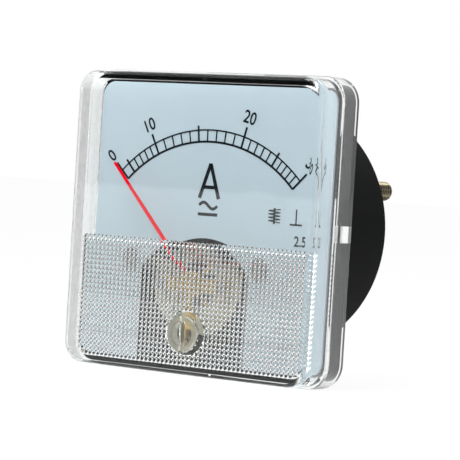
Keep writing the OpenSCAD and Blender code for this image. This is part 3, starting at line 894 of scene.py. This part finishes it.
    def _prisms(self) -> bpy.types.Object:
        """Slab with a four-sided prism in each cell; it runs into the walls on three sides.

        Returns:
            The bare object.
        """
        shape = Shape("prisms")
        pitch = 2 * self.bay / self.columns
        columns, rows = self.columns + 2, self.rows + 1
        left, y = -columns * pitch / 2, self.y_bay + self.prism_base
        grid = [
            shape.loop(
                (left + i * pitch, y, self.field_top - j * self.row_pitch)
                for i in range(columns + 1)
            )
            for j in range(rows + 1)
        ]
        for j in range(rows):
            z = self.field_top - (j + 0.5) * self.row_pitch
            for i in range(columns):
                tip = shape.loop([(left + (i + 0.5) * pitch, y + self.prism, z)])[0]
                cell = (grid[j][i], grid[j][i + 1], grid[j + 1][i + 1], grid[j + 1][i])
                for k in range(4):
                    shape.face((cell[k], cell[(k + 1) % 4], tip))
        ends = [shape.points[n] for n in (grid[0][0], grid[0][-1], grid[-1][-1], grid[-1][0])]
        base = shape.loop((end.x, self.y_bay - self.over, end.z) for end in ends)
        shape.face(base)
        first_column, last_column = [row[0] for row in grid], [row[-1] for row in grid]
        sides = (grid[0], last_column, grid[-1][::-1], first_column[::-1])
        for k, side in enumerate(sides):
            shape.face([*side, base[(k + 1) % 4], base[k]])
        return shape.plain()


@dataclass(frozen=True)
class Tongue:
    """Whitened tongue of a snap latch in the rim, a little proud of it; in millimetres."""

    reach: float = 30.0
    root: float = 0.9
    proud: float = 0.2
    depth: float = 3.0
    height: float = 3.2
    y_rear: float = -0.2
    painted_shade_share: float = 0.33
    gap: float = 0.06
    soft: float = 0.1

    def build(self, finishes: Finishes) -> None:
        """Makes the tongue at each side, its rear third painted grey as shade.

        Args:
            finishes: The finishes.
        """
        # The rear third takes the grey copy: painted shade.
        y_painted_shade = self.y_rear - self.depth * self.painted_shade_share
        tones = [finishes["latch_white"], finishes["latch_painted_shade"]]
        for name, side in (("left", -1), ("right", 1)):
            shape = Shape(f"snap_tongue_{name}")
            self._block(shape, side, self.y_rear - self.depth, y_painted_shade, 0)
            self._block(shape, side, y_painted_shade + self.gap, self.y_rear, 1)
            settle(shape.plain(), tones)

    def _block(self, shape: Shape, side: int, y0: float, y1: float, tone: int) -> None:
        """Block with a softened outer face.

        Args:
            shape: The shape to add to.
            side: 1 at the right, -1 at the left.
            y0: Its front.
            y1: Its back.
            tone: Number of its material.
        """
        outer, low = self.reach + self.proud, self.height / 2
        loops = [
            shape.loop([
                (side * x, y0 + d, d - low), (side * x, y1 - d, d - low),
                (side * x, y1 - d, low - d), (side * x, y0 + d, low - d),
            ])
            for x, d in (
                (self.reach - self.root, 0.0), (outer - self.soft, 0.0), (outer, self.soft)
            )
        ]
        shape.tube(loops, tone)


@dataclass(frozen=True)
class Lacquer:
    """Thick coat of lacquer on the thin pointer blade, in millimetres."""

    coat: float = 0.09

    def dress(self) -> None:
        """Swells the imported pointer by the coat."""
        swell = frame["nodes"]["pointer"].modifiers.new("lacquer", "DISPLACE")
        swell.mid_level, swell.strength = 0.0, self.coat * MM


@dataclass(frozen=True)
class Mark:
    """A number printed on the dial: its middle, its height and its turn in degrees."""

    text: str
    x: float
    z: float
    height: float
    turn: float = 0.0
    narrow: float = 0.86
    weight: float = 0.018


@dataclass(frozen=True)
class Stroke:
    """A line of even width printed on the dial, through points in x and z."""

    width: float
    path: tuple[Spot, ...]


@dataclass(frozen=True)
class DialPrint:
    """Numbers and signs printed on the dial; sizes in millimetres."""

    pivot_z: float = -11.9
    number_radius: float = 34.5
    y: float = -5.03
    digit: float = 2.6
    numbers: tuple[tuple[str, float], ...] = (
        ("0", -45.0), ("10", -26.2), ("20", 15.2), ("30", 44.8)
    )
    accuracy: Mark = Mark("2.5", 22.4, -1.9, 2.05)
    ampere: tuple[Stroke, ...] = (
        Stroke(0.82, ((-2.0, 5.15), (0.33, 12.0))),
        Stroke(0.82, ((2.65, 5.15), (0.33, 12.0))),
        Stroke(0.7, ((-1.2, 7.35), (1.9, 7.35))),
    )
    direct: Stroke = Stroke(0.62, ((-2.15, 2.0), (2.6, 2.0)))
    wave_start: Spot = (-1.95, 3.75)
    wave_length: float = 4.4
    wave_height: float = 0.62
    wave_width: float = 0.6
    wave_steps: int = 24
    iron: Stroke = Stroke(0.42, ((16.1, 4.2), (16.1, 1.1)))
    coil_sides: Spot = (17.5, 14.7)
    coil_top: float = 4.0
    coil_drop: float = 2.6
    coil_width: float = 0.2
    coil_turns: int = 8
    upright: tuple[Stroke, ...] = (
        Stroke(0.3, ((21.2, 4.2), (21.2, 1.3))),
        Stroke(0.34, ((19.8, 1.25), (22.6, 1.25))),
    )

    def build(self, finishes: Finishes) -> None:
        """Makes the numbers and the signs.

        Args:
            finishes: The finishes.
        """
        ink = finishes["print_black"]
        for mark in (*self._scale_numbers(), self.accuracy):
            self._number(mark, ink)
        shape = Shape("dial_signs")
        for stroke in (
            *self.ampere, self._wave(), self.direct, self.iron, *self._coil(), *self.upright
        ):
            self._draw(shape, stroke)
        settle(shape.plain(), [ink])

    def _scale_numbers(self) -> list[Mark]:
        """Numbers round the scale.

        Returns:
            The numbers, each turned to face the pivot.
        """
        marks = []
        for text, angle in self.numbers:
            t = math.radians(angle)
            x, z = self.number_radius * math.sin(t), self.number_radius * math.cos(t)
            marks.append(Mark(text, x, self.pivot_z + z, self.digit, angle))
        return marks

    def _number(self, mark: Mark, ink: bpy.types.Material) -> None:
        """Number as a flat mesh, turned to follow the scale.

        Args:
            mark: The number.
            ink: Its material.
        """
        name = "number_" + mark.text.replace(".", "_")
        curve = bpy.data.curves.new(name, "FONT")
        curve.body, curve.align_x, curve.align_y = mark.text, "CENTER", "CENTER"
        curve.size, curve.offset = 1.0, mark.weight
        text = placed(name, curve)
        mesh = baked(text)
        bpy.data.objects.remove(text)
        xs, ys = [v.co.x for v in mesh.vertices], [v.co.y for v in mesh.vertices]
        size = mark.height / (max(ys) - min(ys))
        middle = Vector(((max(xs) + min(xs)) / 2, (max(ys) + min(ys)) / 2, 0.0))
        upright = Matrix.Rotation(math.pi / 2, 4, "X")
        turn = Matrix.Rotation(math.radians(mark.turn), 4, "Y") @ upright
        scale = Matrix.Diagonal((size * mark.narrow, size, 1.0, 1.0))
        place = Matrix.Translation((mark.x, self.y, mark.z))
        mesh.transform(Matrix.Scale(MM, 4) @ place @ turn @ scale @ Matrix.Translation(-middle))
        settle(placed(name, mesh), [ink])

    def _draw(self, shape: Shape, stroke: Stroke) -> None:
        """Adds a stroke as a flat band.

        Args:
            shape: The shape to add to.
            stroke: The stroke.
        """
        path = stroke.path
        sides: tuple[list[Place], list[Place]] = ([], [])
        for i, (x, z) in enumerate(path):
            before, after = path[max(i - 1, 0)], path[min(i + 1, len(path) - 1)]
            along = Vector((after[0] - before[0], after[1] - before[1])).normalized()
            for side, sign in zip(sides, (1, -1)):
                off = sign * stroke.width / 2
                side.append((x - along.y * off, self.y, z + along.x * off))
        first, second = shape.loop(sides[0]), shape.loop(sides[1])
        for i, j in pairwise(range(len(path))):
            shape.face((first[i], first[j], second[j], second[i]))

    def _wave(self) -> Stroke:
        """Wave over the bar: alternating current as well as direct.

        Returns:
            The wave.
        """
        x, z = self.wave_start
        shares = [i / self.wave_steps for i in range(self.wave_steps + 1)]
        path = [
            (x + self.wave_length * t, z + self.wave_height * math.sin(2 * math.pi * t))
            for t in shares
        ]
        return Stroke(self.wave_width, tuple(path))

    def _coil(self) -> list[Stroke]:
        """Coil across the iron bar: a moving-iron instrument.

        Returns:
            One stroke for each half turn.
        """
        rise = self.coil_drop / self.coil_turns
        ends = [
            (self.coil_sides[i % 2], self.coil_top - rise * i) for i in range(self.coil_turns + 1)
        ]
        return [Stroke(self.coil_width, pair) for pair in pairwise(ends)]


@dataclass(frozen=True)
class Studs:
    """Terminal studs with their cut thread, its grooves painted dark as shade; sizes in
    millimetres.
    """

    x: float = 14.4906
    z: float = 8.5
    radius: float = 2.0
    pitch: float = 0.7
    thread: float = 0.45
    flank: float = 1.25
    painted_shade_from: float = 0.35
    free: float = 27.3
    run_out: float = 0.2
    end: float = 36.5
    chamfer: float = 0.5
    y_head: float = 15.8
    head: float = 3.8
    head_depth: float = 2.4
    shank: float = 1.77
    around: int = 36
    per_turn: int = 8
    sharp: float = 25.0

    def build(self, finishes: Finishes) -> None:
        """Makes both studs, head, shank and thread in one.

        Args:
            finishes: The finishes.
        """
        shape = Shape("studs_threaded")
        for side in (-1, 1):
            self._stud(shape, side * self.x)
        tones = [finishes["stud_brass"], finishes["thread_painted_shade"]]
        settle(shape.plain(), tones, "terminal_studs", self.sharp)

    def _stud(self, shape: Shape, x: float) -> None:
        """One stud.

        Args:
            shape: The shape to add to.
            x: Where its axis lies.
        """
        y_shank = self.y_head + self.head_depth
        shape.tube([shape.loop(ring(self.head, y, x, self.z, 6)) for y in (self.y_head, y_shank)])
        last = shape.loop(ring(self.shank, y_shank, x, self.z, self.around))
        shape.face(last)
        y_thread = self.free - self.run_out
        last = shape.bridge(last, shape.loop(ring(self.shank, y_thread, x, self.z, self.around)))
        rows = round((self.end - self.free) / self.pitch * self.per_turn)
        for row in range(rows + 1):
            y = self.free + (self.end - self.free) * row / rows
            start = len(shape.faces)
            last = shape.bridge(last, shape.loop(self._row(x, y)))
            middle = y - self.pitch / self.per_turn / 2
            # Faces deep in the groove take the dark second material: painted shade.
            for i in range(self.around):
                if row and self._groove(middle, (i + 0.5) / self.around) > self.painted_shade_from:
                    shape.tones[start + i] = 1
        shape.face(last)

    def _groove(self, y: float, turn: float) -> float:
        """Depth of the thread groove at a height and a share of a turn, from 0 to 1."""
        return max(0.0, 1.0 - abs(2 * ((y / self.pitch - turn) % 1.0) - 1.0) * self.flank)

    def _row(self, x: float, y: float) -> list[Place]:
        """Points round the thread at one height, the groove winding with the angle.

        Args:
            x: Where the axis lies.
            y: The height.

        Returns:
            The points in order.
        """
        points = []
        limit = self.radius - max(0.0, y - self.end + self.chamfer)
        for i in range(self.around):
            turn = i / self.around
            radius = min(self.radius - self.thread * self._groove(y, turn), limit)
            angle = 2 * math.pi * turn
            points.append((x + radius * math.cos(angle), y, self.z + radius * math.sin(angle)))
        return points


@dataclass(frozen=True)
class Lamp:
    """Square soft lamp that faces the object: place and size in metres, power in watts."""

    name: str
    place: Place
    size: float
    power: float

    def build(self) -> None:
        """Makes the lamp."""
        data = bpy.data.lights.new(self.name, "AREA")
        data.shape, data.size, data.energy = "SQUARE", self.size, self.power
        lamp = placed(self.name, data)
        lamp.location = self.place
        lamp.rotation_euler = Vector(self.place).to_track_quat("Z", "Y").to_euler()


@dataclass(frozen=True)
class Studio:
    """Plain pale floor, soft lamps and the camera; angles in degrees, lengths in metres."""

    azimuth: float = 35.57
    elevation: float = 1.37
    roll: float = 3.51
    distance: float = 0.4768
    lens_mm: float = 187.9435
    sensor_mm: float = 36.0
    aside: Spot = (0.0025609, 0.0020487)
    clip: Spot = (0.01, 20.0)
    floor_reach: float = 3.0
    floor_greys: Spot = (0.93, 0.95)
    floor_cloud_mm: float = 40.0
    floor_roughness: float = 0.8
    floor_glow: float = 0.92
    behind: Place = (-0.2, 0.98, 0.0)
    behind_range: Spot = (-0.6, -0.1)
    front_grey: float = 0.03
    lamps: tuple[Lamp, ...] = (
        Lamp("key_lamp", (-0.04, -0.17, 0.28), 0.18, 0.84),
        Lamp("fill_lamp", (0.95, -0.35, 0.35), 0.70, 1.2),
        Lamp("top_lamp", (0.05, 0.25, 1.00), 0.70, 3.0),
    )

    def build(self) -> None:
        """Makes the camera, the floor, the surroundings and the lamps."""
        self._camera()
        self._floor()
        self._surroundings()
        for lamp in self.lamps:
            lamp.build()

    def _camera(self) -> None:
        """Camera at the given angle, turned a little so that the object sits off the middle."""
        a, e, r = (math.radians(v) for v in (self.azimuth, self.elevation, self.roll))
        back = Vector((math.sin(a) * math.cos(e), -math.cos(a) * math.cos(e), math.sin(e)))
        across = Vector((math.cos(a), math.sin(a), 0.0))
        right = math.cos(r) * across + math.sin(r) * back.cross(across)
        up = back.cross(right)
        aimed = (back - right * self.aside[0] + up * self.aside[1]).normalized()
        right = (right - aimed * right.dot(aimed)).normalized()
        data = bpy.data.cameras.new("camera")
        data.sensor_width, data.lens = self.sensor_mm, self.lens_mm
        data.clip_start, data.clip_end = self.clip
        camera = placed("camera", data)
        turn = Matrix((right, aimed.cross(right), aimed)).transposed().to_4x4()
        camera.matrix_world = Matrix.Translation(back * self.distance) @ turn
        bpy.context.scene.camera = camera

    def _floor(self) -> None:
        """Pale floor that shows white where nothing shades it."""
        low, reach = cad_box[0][2], self.floor_reach
        corners = [(x * reach, y * reach, low) for x, y in ((-1, -1), (1, -1), (1, 1), (-1, 1))]
        mesh = bpy.data.meshes.new("floor")
        mesh.from_pydata(corners, [], [(0, 1, 2, 3)])
        s = Shader("floor_pale")
        dark, light = (grey(level) for level in self.floor_greys)
        speckled = s.blend(s.noise(self.floor_cloud_mm), dark, light)
        lit = s.solid(Base_Color=speckled, Roughness=self.floor_roughness)
        white = s.node("ShaderNodeEmission", inputs={"Color": grey(1.0), "Strength": 1.0})
        seen = s.ray("Is Camera Ray").either(s.ray("Is Transmission Ray"))
        mesh.materials.append(s.done(s.mix(self.floor_glow * seen, lit, white)))
        placed("floor", mesh)

    def _surroundings(self) -> None:
        """Surroundings that are seen white, and light the object more from behind."""
        s = Shader("studio", world=True)
        way = s.node("ShaderNodeTexCoord", output="Generated")
        sides = {0: way, 1: self.behind}
        behind = s.node("ShaderNodeVectorMath", {"operation": "DOT_PRODUCT"}, sides, "Value")
        lit = s.blend(behind.span(*self.behind_range), grey(self.front_grey), grey(1.0))
        colour = s.blend(s.ray("Is Camera Ray"), lit, grey(1.0))
        inputs = {"Color": colour, "Strength": 1.0}
        bpy.context.scene.world = s.done(s.node("ShaderNodeBackground", inputs=inputs))


def main() -> None:
    """Builds the meter piece by piece."""
    logging.basicConfig(level=logging.INFO, format="%(message)s")
    bpy.context.scene.view_settings.view_transform = "Standard"
    finishes = Finishes()
    finishes.dress_frame()
    Cover().build(finishes)
    Tongue().build(finishes)
    Lacquer().dress()
    DialPrint().build(finishes)
    Studs().build(finishes)
    Studio().build()
    bpy.context.view_layer.update()


if __name__ == "__main__":
    main()
